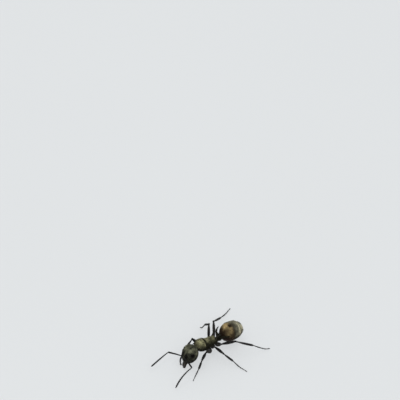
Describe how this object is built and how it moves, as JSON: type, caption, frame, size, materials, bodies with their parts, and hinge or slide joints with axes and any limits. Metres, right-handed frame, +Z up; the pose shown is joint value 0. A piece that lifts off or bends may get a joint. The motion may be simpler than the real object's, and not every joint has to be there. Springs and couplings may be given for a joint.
{
  "type": "spiny ant worker",
  "caption": "Life-size black spiny ant worker standing with bowed head, spread feelers, golden hairy gaster and long curved spines.",
  "frame": {"origin": "on the floor, under the middle of the ant's box", "axes": "+Z up, head toward -Y, the ant's left side +X"},
  "size_m": [0.0074, 0.0108, 0.0024],
  "materials": {
    "head_plate": "black plate under short lying grey-gold hair",
    "trunk_plate": "black plate under short lying olive-gold hair",
    "gaster_plate": "brown-black plate under dense lying golden hair",
    "limb_plate": "black with a low sheen and short lying hair",
    "jaw": "black to dark brown, smooth",
    "eye": "black faceted eye with a soft gloss"
  },
  "bodies": {
    "root": {"head": "head_plate", "eye_left": "eye", "eye_right": "eye", "mandible_left": "jaw", "mandible_right": "jaw", "pronotum": "trunk_plate", "mesonotum": "trunk_plate", "propodeum": "trunk_plate", "petiole": "trunk_plate", "gaster_1": "gaster_plate", "gaster_2": "gaster_plate", "gaster_3": "gaster_plate", "gaster_4": "gaster_plate", "coxa_fore_left": "limb_plate", "femur_fore_left": "limb_plate", "tibia_fore_left": "limb_plate", "tarsus_fore_left": "limb_plate", "coxa_fore_right": "limb_plate", "femur_fore_right": "limb_plate", "tibia_fore_right": "limb_plate", "tarsus_fore_right": "limb_plate", "coxa_mid_left": "limb_plate", "femur_mid_left": "limb_plate", "tibia_mid_left": "limb_plate", "tarsus_mid_left": "limb_plate", "coxa_mid_right": "limb_plate", "femur_mid_right": "limb_plate", "tibia_mid_right": "limb_plate", "tarsus_mid_right": "limb_plate", "coxa_hind_left": "limb_plate", "femur_hind_left": "limb_plate", "tibia_hind_left": "limb_plate", "tarsus_hind_left": "limb_plate", "coxa_hind_right": "limb_plate", "femur_hind_right": "limb_plate", "tibia_hind_right": "limb_plate", "tarsus_hind_right": "limb_plate", "scape_left": "limb_plate", "funiculus_left": "limb_plate", "scape_right": "limb_plate", "funiculus_right": "limb_plate"}
  },
  "joints": []
}
